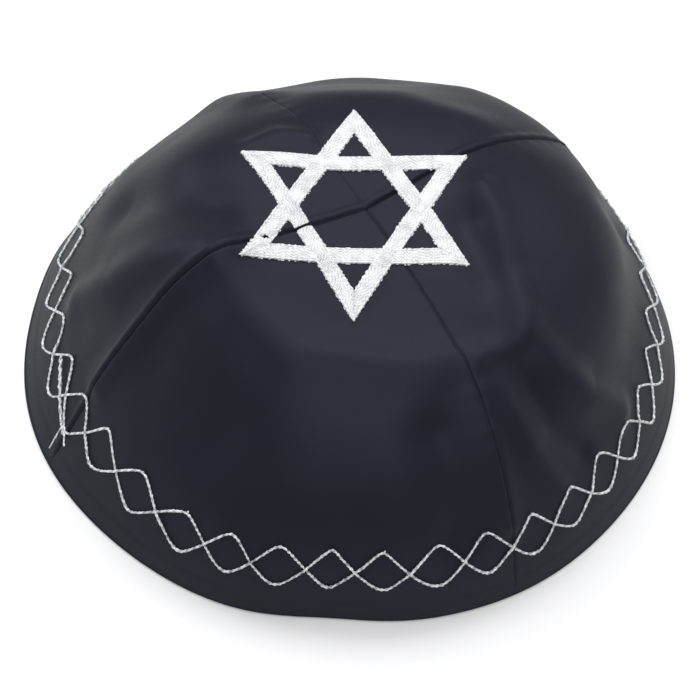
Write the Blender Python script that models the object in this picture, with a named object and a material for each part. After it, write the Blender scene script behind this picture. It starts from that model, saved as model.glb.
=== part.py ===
"""A kippah: four satin panels sewn into a low cap, with a six-pointed star embroidered over the crown.

Metres, +Z up. The cap rests on z = 0 with the middle of its rim at the origin, and its front is at -Y.
A place on the cloth has a direction, which turns from +X towards +Y, and a way, the share of the arc
from the crown, 0, to the rim, 1.
"""

import math
from typing import NamedTuple

import bmesh
import bpy
import numpy as np

# The cap's outside
RIM_WIDTH = 0.176
RIM_DEPTH = 0.164
CROWN_HEIGHT = 0.0598
CROWN_SIDE_LEAN = 0.0042
CROWN_BACK_LEAN = 0.0058

# The cloth and its turned hem
SATIN_WALL = 0.0015
HEM_WALL = 0.0024
HEM_DEPTH = 0.010
HEM_STEP = 0.0012

# The seams between the panels
SEAM_GAP = 0.0003
SEAM_DIP = 0.0007
SEAM_DIP_REACH = 0.0045

# The star: its radius runs from its middle to a tip, and its middle is measured from the crown
STAR_RADIUS = 0.0330
STAR_SIDE = -0.0030
STAR_BACK = -0.0005
STAR_BAR = 0.0043
STAR_EDGE_THICKNESS = 0.0005
STAR_SWELL = 0.0004
STAR_GAP = 0.0003

# Folds die out over this share of the way before the rim, so that the rim lies flat
RIM_CALM = 0.2

# How finely the pieces are faceted
PANEL_COLUMNS = 16
PANEL_ROWS = 24
HEM_ROWS = 2
BAR_COLUMNS = 2
TIP_ROWS = 6
MIDDLE_ROWS = 4
SECTION_SAMPLES = 240
SECTION_SOFTENING = 31
NORMAL_STEP = 1e-4


class Station(NamedTuple):
    """How steeply, in degrees, the cloth falls at one way on the cap's front, right, back and left."""

    way: float
    front: float
    right: float
    back: float
    left: float


STATIONS = (
    Station(way=0.0, front=0, right=0, back=0, left=0),
    Station(way=0.2, front=11, right=-4, back=-2, left=-10),
    Station(way=0.35, front=7, right=18, back=31, left=14),
    Station(way=0.5, front=36, right=37, back=35, left=53),
    Station(way=0.65, front=48, right=72, back=40, left=59),
    Station(way=0.8, front=66, right=58, back=67, left=60),
    Station(way=1.0, front=87, right=71, back=88, left=64),
)


class Bulge(NamedTuple):
    """A stretch of the rim that lies out of its ellipse, by a share of its radius. The ends fade out."""

    middle_deg: float
    reach_deg: float
    bulge: float


RIM_BULGES = (
    Bulge(middle_deg=152, reach_deg=14, bulge=0.028),
    Bulge(middle_deg=222, reach_deg=22, bulge=-0.015),
    Bulge(middle_deg=266, reach_deg=12, bulge=-0.025),
    Bulge(middle_deg=303, reach_deg=17, bulge=0.012),
)


class Panel(NamedTuple):
    """A gore between the seams at two directions, counted from +X towards +Y."""

    name: str
    from_deg: float
    to_deg: float


PANELS = (
    Panel("gore_right", from_deg=300, to_deg=394.5),
    Panel("gore_back", from_deg=34.5, to_deg=120),
    Panel("gore_left", from_deg=120, to_deg=203.4),
    Panel("gore_front", from_deg=203.4, to_deg=300),
)


class Fold(NamedTuple):
    """A ridge, or a hollow where its lift is negative, along a line of (direction in degrees, way).

    Its reach is a share of the arc from crown to rim, and its lift a share of the crown's height.
    """

    name: str
    reach: float
    lift: float
    line: tuple


FOLDS = (
    Fold("front shoulder", 0.050, 0.028, ((206, 0.33), (224, 0.35), (246, 0.39), (282, 0.40), (300, 0.43))),
    Fold("front left hollow", 0.110, -0.030, ((216, 0.57), (236, 0.61))),
    Fold("front right hollow", 0.070, -0.032, ((290, 0.54), (294, 0.76))),
    Fold("front seam crest", 0.040, 0.024, ((203.4, 0.36), (203.4, 0.74))),
    Fold("right ridge", 0.042, 0.031, ((10, 0.26), (355, 0.28), (334, 0.35), (327, 0.49), (335, 0.70))),
    Fold("right bowl", 0.055, -0.036, ((348, 0.23), (330, 0.32))),
    Fold("right bowl lip", 0.025, 0.014, ((324, 0.37), (316, 0.39), (305, 0.38))),
    Fold("right lower hollow", 0.050, -0.025, ((318, 0.54), (320, 0.64), (324, 0.74))),
    Fold("right lower ridge", 0.040, 0.023, ((307, 0.50), (312, 0.67), (318, 0.79))),
    Fold("left ridge", 0.050, 0.028, ((192, 0.30), (188, 0.38), (179, 0.51), (168, 0.74))),
    Fold("left hollow", 0.060, -0.022, ((198, 0.56), (188, 0.72))),
    Fold("back left crease", 0.022, 0.015, ((148, 0.30), (134, 0.28), (123, 0.23))),
    Fold("back hollow", 0.130, -0.040, ((84, 0.62), (104, 0.64))),
    Fold("back left corner", 0.070, 0.034, ((121, 0.51), (122, 0.66))),
    Fold("back right bulge", 0.090, 0.018, ((40, 0.62), (62, 0.62))),
    Fold("back right notch", 0.050, -0.016, ((14, 0.62), (16, 0.74))),
    Fold("back ridge", 0.060, 0.017, ((106, 0.39), (77, 0.38), (50, 0.36))),
)

SATIN_HEX = "1C1E27"
THREAD_HEX = "E6E8EB"


def side_shares(side):
    """The share of the rim's radius and of the height at each way, where the cap is cut through one side."""
    slope = np.radians(np.interp(WAYS, [s.way for s in STATIONS], [getattr(s, side) for s in STATIONS]))
    window = np.hanning(SECTION_SOFTENING + 2)[1:-1]
    padded = np.pad(slope, SECTION_SOFTENING // 2, mode="edge")
    slope = np.convolve(padded, window / window.sum(), mode="valid")
    middle = (slope[1:] + slope[:-1]) / 2
    out = np.concatenate([[0], np.cumsum(np.cos(middle))])
    down = np.concatenate([[0], np.cumsum(np.sin(middle))])
    return out / out[-1], 1 - down / down[-1]


WAYS = np.linspace(0, 1, SECTION_SAMPLES + 1)
SIDES = tuple(side_shares(side) for side in ("front", "right", "back", "left"))
OUT_SHARES = np.mean([out for out, _ in SIDES], axis=0)
RIM_MEAN = (RIM_WIDTH + RIM_DEPTH) / 4
ARC = np.mean(
    [np.hypot(RIM_MEAN * np.diff(out), CROWN_HEIGHT * np.diff(up)).sum() for out, up in SIDES]
)
SEAM_LINES = tuple(((panel.from_deg, 0.0), (panel.from_deg, 1.0)) for panel in PANELS)


def smooth_step(share):
    share = np.clip(share, 0, 1)
    return share * share * (3 - 2 * share)


def rim_radius(direction):
    """The rim is an ellipse in plan, with a few gentle bulges."""
    half_width, half_depth = RIM_WIDTH / 2, RIM_DEPTH / 2
    across = np.hypot(half_depth * np.cos(direction), half_width * np.sin(direction))
    radius = half_width * half_depth / across
    for bulge in RIM_BULGES:
        turned = np.degrees(direction) - bulge.middle_deg
        turned = (turned + 180) % 360 - 180
        radius = radius * (1 + bulge.bulge * np.exp(-((turned / bulge.reach_deg) ** 2)))
    return radius


def side_weights(direction):
    """How far each direction belongs to the front, right, back and left. They add up to 1."""
    to_right, to_back = np.cos(direction), np.sin(direction)
    return [np.maximum(turned, 0) ** 2 for turned in (-to_back, to_right, to_back, -to_right)]


def calm_point(direction, way):
    """The cap's outside without folds and seams. It is round near the crown and oval at the rim."""
    weights = side_weights(direction)
    out = sum(weight * np.interp(way, WAYS, side[0]) for weight, side in zip(weights, SIDES))
    up = sum(weight * np.interp(way, WAYS, side[1]) for weight, side in zip(weights, SIDES))
    radius = out * (RIM_MEAN + (rim_radius(direction) - RIM_MEAN) * out)
    x = radius * np.cos(direction) + CROWN_SIDE_LEAN * up
    y = radius * np.sin(direction) + CROWN_BACK_LEAN * up
    return np.stack([x, y, CROWN_HEIGHT * up], axis=-1)


def on_pattern(direction, way):
    """The place on the cloth laid out flat round the crown, as shares of the arc."""
    return np.stack([way * np.cos(direction), way * np.sin(direction)], axis=-1)


def distance_to(line, places):
    """How far each place on the pattern is from a line of (direction in degrees, way)."""
    corners = [on_pattern(math.radians(deg), way) for deg, way in line]
    nearest = np.full(places.shape[:-1], np.inf)
    for start, end in zip(corners, corners[1:]):
        run = end - start
        share = np.clip((places - start) @ run / (run @ run), 0, 1)
        nearest = np.minimum(nearest, np.linalg.norm(places - start - share[..., None] * run, axis=-1))
    return nearest


def cloth_lift(direction, way):
    """How far folds and seams lift the cloth off its calm form."""
    places = on_pattern(direction, way)
    lift = np.zeros(places.shape[:-1])
    for fold in FOLDS:
        lift += fold.lift * CROWN_HEIGHT * np.exp(-((distance_to(fold.line, places) / fold.reach) ** 2))
    seam = ARC * np.min([distance_to(line, places) for line in SEAM_LINES], axis=0)
    lift -= SEAM_DIP * np.exp(-((seam / SEAM_DIP_REACH) ** 2))
    return lift * smooth_step((1 - way) / RIM_CALM)


def normal_of(point_at, direction, way):
    """The outward normal of a surface that point_at gives, taken a small step inside its ends."""
    way = np.clip(way, NORMAL_STEP, 1 - NORMAL_STEP)
    down = point_at(direction, way + NORMAL_STEP) - point_at(direction, way - NORMAL_STEP)
    round_it = point_at(direction + NORMAL_STEP, way) - point_at(direction - NORMAL_STEP, way)
    normal = np.cross(down, round_it)
    return normal / np.linalg.norm(normal, axis=-1, keepdims=True)


def outside_point(direction, way):
    """The cap's outside with its folds and seams."""
    lift = cloth_lift(direction, way)[..., None]
    return calm_point(direction, way) + lift * normal_of(calm_point, direction, way)


def inside_point(direction, way):
    """The cap's inside: one wall behind the outside, level with it at the rim, and thicker in the hem."""
    hem_start = 1 - HEM_DEPTH / ARC
    into_hem = (way - hem_start) / (1 - hem_start)
    wall = SATIN_WALL + (HEM_WALL - SATIN_WALL) * smooth_step((way - hem_start) * ARC / HEM_STEP)
    inward = -normal_of(outside_point, direction, way)
    inward[..., 2] *= 1 - smooth_step(into_hem)
    inward /= np.linalg.norm(inward, axis=-1, keepdims=True)
    return outside_point(direction, way) + wall[..., None] * inward


def panel_places(panel):
    """Directions and ways of a panel's grid, a row for each way, from its tip at the crown to its rim.

    Its two edges run half a seam's gap from the seam lines, so the tip is where they meet.
    """
    start, end = math.radians(panel.from_deg), math.radians(panel.to_deg)
    half_gap, half_span = SEAM_GAP / 2, (end - start) / 2
    tip_way = np.interp(half_gap / math.sin(half_span) / RIM_MEAN, OUT_SHARES, WAYS)
    hem_start = 1 - HEM_DEPTH / ARC
    ways = np.concatenate(
        [
            np.linspace(tip_way, hem_start, PANEL_ROWS, endpoint=False),
            [hem_start],
            np.linspace(hem_start + HEM_STEP / ARC, 1, HEM_ROWS + 1),
        ]
    )
    radius = RIM_MEAN * np.interp(ways, WAYS, OUT_SHARES)
    edge = np.arcsin(np.clip(half_gap / radius, 0, math.sin(half_span)))
    share = np.linspace(0, 1, PANEL_COLUMNS + 1)
    direction = (start + edge)[:, None] + (end - start - 2 * edge)[:, None] * share
    return direction, np.broadcast_to(ways[:, None], direction.shape)


def panel_faces(rows, columns):
    """Faces of a grid whose first row is one point, the tip."""

    def corner(row, column):
        return 0 if row == 0 else 1 + (row - 1) * columns + column

    faces = []
    for row in range(rows - 1):
        for column in range(columns - 1):
            ring = (
                corner(row, column),
                corner(row + 1, column),
                corner(row + 1, column + 1),
                corner(row, column + 1),
            )
            faces.append(tuple(dict.fromkeys(ring)))
    return faces


def make_solid(name, outer, inner, faces, material):
    """A closed wall between two sheets that have the same faces, with an edge all round."""
    bm = bmesh.new()
    front = [bm.verts.new(place) for place in outer]
    back = [bm.verts.new(place) for place in inner]
    sides = set()
    for face in faces:
        bm.faces.new([front[i] for i in face])
        bm.faces.new([back[i] for i in reversed(face)])
        sides.update(zip(face, face[1:] + face[:1]))
    for start, end in sorted(sides):
        if (end, start) not in sides:
            bm.faces.new((front[end], front[start], back[start], back[end]))
    bmesh.ops.recalc_face_normals(bm, faces=bm.faces)
    mesh = bpy.data.meshes.new(name)
    bm.to_mesh(mesh)
    bm.free()
    mesh.materials.append(material)
    mesh.shade_smooth()
    mesh.set_sharp_from_angle(angle=math.radians(40))
    solid = bpy.data.objects.new(name, mesh)
    bpy.context.scene.collection.objects.link(solid)
    return solid


def linear_colour(hex_code):
    """The sRGB hex colour as linear values with alpha."""
    shares = [int(hex_code[i : i + 2], 16) / 255 for i in (0, 2, 4)]
    return [s / 12.92 if s <= 0.04045 else ((s + 0.055) / 1.055) ** 2.4 for s in shares] + [1.0]


def cloth_material(name, hex_code, roughness, sheen):
    """Woven or stitched thread, never metallic. The sheen is the light that thread throws back."""
    material = bpy.data.materials.new(name)
    material.use_nodes = True
    shader = material.node_tree.nodes["Principled BSDF"]
    shader.inputs["Base Color"].default_value = linear_colour(hex_code)
    shader.inputs["Roughness"].default_value = roughness
    shader.inputs["Metallic"].default_value = 0.0
    shader.inputs["Sheen Weight"].default_value = sheen
    return material


def make_panel(panel):
    direction, way = panel_places(panel)
    rows, columns = direction.shape
    direction = np.concatenate([direction[0, :1], direction[1:].ravel()])
    way = np.concatenate([way[0, :1], way[1:].ravel()])
    make_solid(
        panel.name,
        outside_point(direction, way),
        inside_point(direction, way),
        panel_faces(rows, columns),
        cloth_material(panel.name + "_satin", SATIN_HEX, roughness=0.42, sheen=0.2),
    )


def bar_normal(bar):
    """The way out of the star across one of its six bars."""
    angle = math.radians(30 + 60 * bar)
    return np.array([math.cos(angle), math.sin(angle)])


def bar_edges_meet(bar, is_outer, other, other_is_outer):
    """Where an edge of one bar's meets an edge of another's, from the star's middle."""
    outer, inner = STAR_RADIUS / 2, STAR_RADIUS / 2 - STAR_BAR
    sides = np.array([bar_normal(bar), bar_normal(other)])
    return np.linalg.solve(sides, [outer if is_outer else inner, outer if other_is_outer else inner])


def star_patches():
    """The star's bars cut at their crossings: four corners, and the rows along and columns across each."""
    patches = []
    for bar in range(6):
        before, after, tip = bar - 1, bar + 1, bar + 2
        crossing = (
            bar_edges_meet(bar, True, after, True),
            bar_edges_meet(bar, True, after, False),
            bar_edges_meet(bar, False, after, False),
            bar_edges_meet(bar, False, after, True),
        )
        middle = (
            bar_edges_meet(bar, True, before, False),
            bar_edges_meet(bar, False, before, False),
            bar_edges_meet(bar, False, after, False),
            bar_edges_meet(bar, True, after, False),
        )
        tip_side = (
            bar_edges_meet(bar, True, after, True),
            bar_edges_meet(bar, False, after, True),
            bar_edges_meet(bar, False, tip, False),
            bar_edges_meet(bar, True, tip, True),
        )
        other_side = (
            bar_edges_meet(bar, True, tip, True),
            bar_edges_meet(bar, False, tip, False),
            bar_edges_meet(tip, False, after, True),
            bar_edges_meet(tip, True, after, True),
        )
        patches.append((crossing, BAR_COLUMNS))
        patches.append((middle, MIDDLE_ROWS))
        patches.append((tip_side, TIP_ROWS))
        patches.append((other_side, TIP_ROWS))
    return patches


def star_sheet():
    """The star's flat places, from its middle, and its faces. Patches share the places on their edges."""
    numbers, places, faces = {}, [], []

    def number_of(place):
        key = tuple(int(round(value * 1e7)) for value in place)
        if key not in numbers:
            numbers[key] = len(places)
            places.append(place)
        return numbers[key]

    for corners, rows in star_patches():
        near_left, near_right, far_right, far_left = corners
        grid = []
        for row in range(rows + 1):
            left = near_left + (far_left - near_left) * row / rows
            right = near_right + (far_right - near_right) * row / rows
            grid.append([number_of(left + (right - left) * c / BAR_COLUMNS) for c in range(BAR_COLUMNS + 1)])
        for low, high in zip(grid, grid[1:]):
            for c in range(BAR_COLUMNS):
                faces.append((low[c], low[c + 1], high[c + 1], high[c]))
    return np.array(places), faces


def bar_swell(places):
    """The stitches stand highest along the middle of each bar: 1 there and 0 at the bar's edges."""
    swell = np.zeros(len(places))
    for bar in range(6):
        off_middle = (places @ bar_normal(bar) - STAR_RADIUS / 2 + STAR_BAR / 2) / (STAR_BAR / 2)
        swell = np.maximum(swell, 1 - off_middle**2)
    return swell


def make_star():
    flat, faces = star_sheet()
    from_crown = flat + (STAR_SIDE, STAR_BACK)
    direction = np.arctan2(from_crown[:, 1], from_crown[:, 0])
    way = np.linalg.norm(from_crown, axis=1) / ARC
    cloth = outside_point(direction, way)
    normal = normal_of(outside_point, direction, way)
    thickness = STAR_EDGE_THICKNESS + STAR_SWELL * bar_swell(flat)
    make_solid(
        "star_embroidery",
        cloth + (STAR_GAP + thickness)[:, None] * normal,
        cloth + STAR_GAP * normal,
        faces,
        cloth_material("star_embroidery_thread", THREAD_HEX, roughness=0.45, sheen=0.1),
    )


def main():
    for leftover in list(bpy.data.objects):
        bpy.data.objects.remove(leftover)
    for panel in PANELS:
        make_panel(panel)
    make_star()


main()
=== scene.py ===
"""The looks of the kippah: satin panels with their seams, the star's stitches and the silver trim.

Metres, +Z up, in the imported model's frame. A place on the cloth has a direction, which turns from +X
towards +Y, and a way, the share of the arc from the crown, 0, to the rim, 1. Flat places are metres on
the cloth laid out round the crown.
"""

import math
from typing import NamedTuple

import bpy
import numpy as np
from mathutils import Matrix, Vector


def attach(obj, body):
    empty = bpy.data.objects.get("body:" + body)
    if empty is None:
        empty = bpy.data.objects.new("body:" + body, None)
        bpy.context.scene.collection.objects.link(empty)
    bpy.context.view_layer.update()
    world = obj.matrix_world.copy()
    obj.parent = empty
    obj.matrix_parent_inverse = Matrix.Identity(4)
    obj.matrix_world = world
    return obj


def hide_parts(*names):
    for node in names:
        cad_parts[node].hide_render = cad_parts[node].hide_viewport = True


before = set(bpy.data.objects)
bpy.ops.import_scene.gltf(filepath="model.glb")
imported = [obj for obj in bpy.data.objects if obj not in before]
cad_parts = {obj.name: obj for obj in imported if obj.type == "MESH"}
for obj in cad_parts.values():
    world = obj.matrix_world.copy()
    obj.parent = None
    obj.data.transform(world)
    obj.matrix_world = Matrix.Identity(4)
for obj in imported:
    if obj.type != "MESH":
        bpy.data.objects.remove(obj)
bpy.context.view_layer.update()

# The cap's form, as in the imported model
RIM_WIDTH = 0.176
RIM_DEPTH = 0.164
CROWN_HEIGHT = 0.0598
CROWN_SIDE_LEAN = 0.0042
CROWN_BACK_LEAN = 0.0058
SATIN_WALL = 0.0015
HEM_WALL = 0.0024
HEM_DEPTH = 0.010
HEM_STEP = 0.0012
SEAM_DIP = 0.00025
SEAM_DIP_REACH = 0.0045
RIM_CALM = 0.2
SECTION_SAMPLES = 240
SECTION_SOFTENING = 31
NORMAL_STEP = 1e-4

# The seams' fine profile: a narrow groove, with a lip beside it where the allowance pushes the cloth up
SEAM_GAP = 0.00005
GROOVE_REACH = 0.00040
LIP_PLACE = 0.0013
LIP_REACH = 0.0011
PUCKER_RISE = 0.00006
PUCKER_SPACING = 0.0052
PUCKER_REACH = 0.0035
# How many times faster than the folds the seams' profile comes in above the rim
SEAM_ONSET = 4

# The turned hem: a faint step over its inner edge, and a rounded fold at the rim
HEM_LINE = 0.0058
HEM_LINE_RISE = 0.00010
HEM_LINE_REACH = 0.0005
RIM_FOLD = 0.0005
RIM_FOLD_REACH = 0.0012
RIM_FOLD_ROWS = 4

# Soft dents that satin keeps from being handled
DENT_RISE = 0.00009
DENT_WAVES = 22
DENT_SPACING = (0.011, 0.032)
DENT_SEED = 12

PANEL_COLUMNS = 150
PANEL_ROWS = 132
RIM_GRID_ROWS = 24
RIM_GRID_DEPTH = 0.012

# The star: its radius runs from its middle to a tip, and its middle is measured from the crown
STAR_RADIUS = 0.0330
STAR_SIDE = -0.0030
STAR_BACK = -0.0005
STAR_BAR = 0.0043
BAR_OUTER = STAR_RADIUS / 2
BAR_INNER = BAR_OUTER - STAR_BAR
CROSSING_SOFTNESS = 1.6
STITCH_SPACING = 0.00038
STITCH_WIDTH = 0.00046
STITCH_THICKNESS = 0.00022
STITCH_RISE = 0.00050
STITCH_RISE_OVER = 0.00085
STITCH_RAGGED_END = 0.00030
STITCH_POINTS = 8
STITCH_ARCH_TOP = 0.92
STITCH_ARCH_FALL = 2.6
STITCH_FATNESS = (0.86, 1.12)
STITCH_TWIST_START = 0.01
STITCH_PARTING = 0.00030
STITCH_SEED = 3
MITRE_OVERLAP = 0.0004
UNDERLAY_SPACING = 0.00062
UNDERLAY_WIDTH = 0.00068
UNDERLAY_LIFT = 0.00014
UNDERLAY_STEP = 0.0012
UNDERLAY_END_GAP = 0.0004
UNDERLAY_PARTING = 0.00035

# The trim: two threads that zigzag round the rim and cross half-way between their turns
TRIM_WIDTH = 0.00082
TRIM_THICKNESS = 0.00050
TRIM_TWIST = 0.0026
TRIM_STEPS = 40
TRIM_LIFT_SHARE = 0.42
TRIM_CROSSING_RISE = 0.00042
TRIM_CROSSING_REACH = 0.10
TRIM_SWELL = 0.28
TRIM_SWELL_PLACE = 0.06
TRIM_SWELL_REACH = 0.05
TRIM_LOW_BEND = (0.10, 0.26)
TRIM_HIGH_BEND = (0.06, 0.16)
TRIM_WOBBLE = 0.00022
TRIM_WOBBLE_STEPS = 14
TRIM_SEED = 5

# The small nubs at the trim's high turns
SPUR_LENGTH = 0.0008
SPUR_LENGTH_SHARE = (0.5, 1.1)
SPUR_LEAN_SHARE = (0.2, 0.7)
SPUR_LIFT = 0.0002
SPUR_RISE = 0.0004
SPUR_TAPER = (0.8, 0.75, 0.7, 0.5)


class Station(NamedTuple):
    """How steeply, in degrees, the cloth falls at one way on the cap's front, right, back and left."""

    way: float
    front: float
    right: float
    back: float
    left: float


STATIONS = (
    Station(way=0.0, front=0, right=0, back=0, left=0),
    Station(way=0.2, front=11, right=-4, back=-2, left=-10),
    Station(way=0.35, front=7, right=18, back=31, left=14),
    Station(way=0.5, front=36, right=37, back=35, left=53),
    Station(way=0.65, front=48, right=72, back=40, left=59),
    Station(way=0.8, front=66, right=58, back=67, left=60),
    Station(way=1.0, front=87, right=71, back=88, left=64),
)


class Bulge(NamedTuple):
    """A stretch of the rim that lies out of its ellipse, by a share of its radius."""

    middle_deg: float
    reach_deg: float
    bulge: float


RIM_BULGES = (
    Bulge(middle_deg=152, reach_deg=14, bulge=0.028),
    Bulge(middle_deg=222, reach_deg=22, bulge=-0.015),
    Bulge(middle_deg=266, reach_deg=12, bulge=-0.025),
    Bulge(middle_deg=303, reach_deg=17, bulge=0.012),
)


class Seam(NamedTuple):
    """A seam's direction, its groove's depth, and the lips on its sides of smaller and larger directions."""

    deg: float
    groove: float
    lip_before: float
    lip_after: float


FRONT_LEFT_SEAM = Seam(deg=203.4, groove=0.00040, lip_before=0.00036, lip_after=0.0)
FRONT_RIGHT_SEAM = Seam(deg=300, groove=0.00028, lip_before=0.0, lip_after=0.00006)
BACK_RIGHT_SEAM = Seam(deg=34.5, groove=0.00070, lip_before=0.0, lip_after=0.00028)
BACK_LEFT_SEAM = Seam(deg=120, groove=0.00010, lip_before=0.0, lip_after=0.0)
SEAMS = (FRONT_LEFT_SEAM, FRONT_RIGHT_SEAM, BACK_RIGHT_SEAM, BACK_LEFT_SEAM)


class Panel(NamedTuple):
    """A gore between two seams: the piece's name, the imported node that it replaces, and its directions."""

    name: str
    node: str
    from_deg: float
    to_deg: float
    start_seam: Seam
    end_seam: Seam


PANELS = (
    Panel("satin_right", "gore_right", 300, 394.5, FRONT_RIGHT_SEAM, BACK_RIGHT_SEAM),
    Panel("satin_back", "gore_back", 34.5, 120, BACK_RIGHT_SEAM, BACK_LEFT_SEAM),
    Panel("satin_left", "gore_left", 120, 203.4, BACK_LEFT_SEAM, FRONT_LEFT_SEAM),
    Panel("satin_front", "gore_front", 203.4, 300, FRONT_LEFT_SEAM, FRONT_RIGHT_SEAM),
)


class Fold(NamedTuple):
    """A ridge, or a hollow where its lift is negative, along a line of (direction in degrees, way).

    Its reach is a share of the arc from crown to rim, and its lift a share of the crown's height.
    """

    name: str
    reach: float
    lift: float
    line: tuple


FOLDS = (
    Fold("front shoulder", 0.050, 0.028, ((206, 0.33), (224, 0.35), (246, 0.39), (282, 0.40), (300, 0.43))),
    Fold("front left hollow", 0.110, -0.030, ((216, 0.57), (236, 0.61))),
    Fold("front right hollow", 0.060, -0.034, ((288, 0.56), (290, 0.76))),
    Fold("front right seam crest", 0.035, 0.020, ((300, 0.50), (300, 0.80))),
    Fold("front seam crest", 0.040, 0.024, ((203.4, 0.36), (203.4, 0.74))),
    Fold("right ridge", 0.038, 0.042, ((10, 0.25), (354, 0.27), (334, 0.33), (325, 0.41))),
    Fold("right ridge end", 0.045, 0.042, ((321, 0.46), (322, 0.55), (326, 0.66), (333, 0.77))),
    Fold("right bowl", 0.055, -0.044, ((348, 0.22), (330, 0.31))),
    Fold("right bowl lip", 0.028, 0.020, ((318, 0.43), (312, 0.44), (305, 0.43))),
    Fold("right lower hollow", 0.032, -0.022, ((313, 0.55), (315, 0.66), (320, 0.76))),
    Fold("right lower ridge", 0.035, 0.018, ((305, 0.50), (308, 0.67), (312, 0.79))),
    Fold("left ridge", 0.055, 0.042, ((199, 0.32), (193, 0.46), (187, 0.62), (182, 0.74))),
    Fold("left hollow", 0.060, -0.036, ((178, 0.33), (170, 0.46), (165, 0.60))),
    Fold("back left crease", 0.022, 0.015, ((148, 0.30), (134, 0.28), (123, 0.23))),
    Fold("back hollow", 0.130, -0.040, ((84, 0.62), (104, 0.64))),
    Fold("back left corner", 0.070, 0.034, ((121, 0.51), (122, 0.66))),
    Fold("back right bulge", 0.090, 0.018, ((40, 0.62), (62, 0.62))),
    Fold("back right notch", 0.050, -0.016, ((14, 0.62), (16, 0.74))),
    Fold("back ridge", 0.060, 0.017, ((106, 0.39), (77, 0.38), (50, 0.36))),
)


class Anchor(NamedTuple):
    """One of the trim's turning stations: its direction, and how far its turns lie from the rim in mm."""

    station: int
    deg: float
    low: float
    high: float


TRIM_STATIONS = 36
TRIM_ANCHORS = (
    Anchor(station=0, deg=162.0, low=10.4, high=24.0),
    Anchor(station=2, deg=182.5, low=11.0, high=24.0),
    Anchor(station=4, deg=203.0, low=12.0, high=24.6),
    Anchor(station=5, deg=212.3, low=13.6, high=25.6),
    Anchor(station=7, deg=236.5, low=11.9, high=23.2),
    Anchor(station=10, deg=265.5, low=11.7, high=23.6),
    Anchor(station=13, deg=295.0, low=11.9, high=23.8),
    Anchor(station=16, deg=323.0, low=11.9, high=23.6),
    Anchor(station=18, deg=341.0, low=11.0, high=23.0),
    Anchor(station=20, deg=358.7, low=12.4, high=24.2),
    Anchor(station=22, deg=376.5, low=12.2, high=24.0),
    Anchor(station=36, deg=522.0, low=10.4, high=24.0),
)


class Tail(NamedTuple):
    """A cut end of thread: the direction in degrees and way of its ends, and its share of full thickness."""

    start: tuple
    end: tuple
    thick: float


# The trim's start: a doubled run along a path of (direction in degrees, way), with two tails
START_PATH = ((190.0, 0.825), (195.0, 0.850), (201.0, 0.889), (203.0, 0.903))
START_TURNS = 5
START_SWAY_DEG = 0.22
START_LIFT = 0.00060
START_ROLL = 0.00022
START_THICK = 0.95
START_KNOT_SWELL = 0.30
START_KNOTS_PER_TURN = 2.3
START_TAILS = (
    Tail(start=(201.5, 0.888), end=(202.0, 0.960), thick=0.8),
    Tail(start=(202.5, 0.895), end=(205.0, 0.915), thick=1.0),
)
TAIL_LIFT = 0.0003
TAIL_RISE = 0.0006


class Light(NamedTuple):
    """A softbox: where it stands, what it measures, and its power in watts. It faces the cap."""

    name: str
    place: tuple
    size: tuple
    power: float


LIGHTS = (
    Light("back_softbox", (0.0, 0.75, 1.10), (1.2, 0.6), 8.5),
    Light("back_left_softbox", (-1.00, 0.60, 0.60), (0.5, 0.4), 4.5),
    Light("back_right_softbox", (0.90, 0.65, 0.80), (0.5, 0.4), 3.0),
    Light("front_softbox", (0.0, -0.85, 1.00), (0.8, 0.6), 6.5),
    Light("overhead_softbox", (0.0, 0.10, 1.30), (1.5, 1.1), 9.0),
    Light("right_softbox", (1.20, -0.05, 0.45), (0.5, 0.5), 2.0),
    Light("left_softbox", (-1.20, 0.05, 0.45), (0.5, 0.5), 1.2),
)
ROOM_GREY = 0.02
ROOM_BLUENESS = 1.05
FLOOR_HALF = 3.0
FLOOR_DROP = 0.0001

# The camera looks down at the front as the photograph does
CAMERA_ELEVATION = 0.970
CAMERA_DISTANCE = 0.70
CAMERA_LENS = 132.8
CAMERA_SIDE = 0.00014
CAMERA_RISE = 0.0024


def side_shares(side):
    """The share of the rim's radius and of the height at each way, where the cap is cut through one side."""
    slope = np.radians(np.interp(WAYS, [s.way for s in STATIONS], [getattr(s, side) for s in STATIONS]))
    window = np.hanning(SECTION_SOFTENING + 2)[1:-1]
    padded = np.pad(slope, SECTION_SOFTENING // 2, mode="edge")
    slope = np.convolve(padded, window / window.sum(), mode="valid")
    middle = (slope[1:] + slope[:-1]) / 2
    out = np.concatenate([[0], np.cumsum(np.cos(middle))])
    down = np.concatenate([[0], np.cumsum(np.sin(middle))])
    return out / out[-1], 1 - down / down[-1]


WAYS = np.linspace(0, 1, SECTION_SAMPLES + 1)
SIDES = tuple(side_shares(side) for side in ("front", "right", "back", "left"))
OUT_SHARES = np.mean([out for out, _ in SIDES], axis=0)
RIM_MEAN = (RIM_WIDTH + RIM_DEPTH) / 4
ARC = np.mean(
    [np.hypot(RIM_MEAN * np.diff(out), CROWN_HEIGHT * np.diff(up)).sum() for out, up in SIDES]
)


def smooth_step(share):
    share = np.clip(share, 0, 1)
    return share * share * (3 - 2 * share)


def bump(distance, reach):
    """A soft bump: 1 at no distance, fading out over its reach."""
    return np.exp(-((distance / reach) ** 2))


def rim_radius(direction):
    """The rim is an ellipse in plan, with a few gentle bulges."""
    half_width, half_depth = RIM_WIDTH / 2, RIM_DEPTH / 2
    across = np.hypot(half_depth * np.cos(direction), half_width * np.sin(direction))
    radius = half_width * half_depth / across
    for bulge in RIM_BULGES:
        turned = (np.degrees(direction) - bulge.middle_deg + 180) % 360 - 180
        radius = radius * (1 + bulge.bulge * bump(turned, bulge.reach_deg))
    return radius


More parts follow.
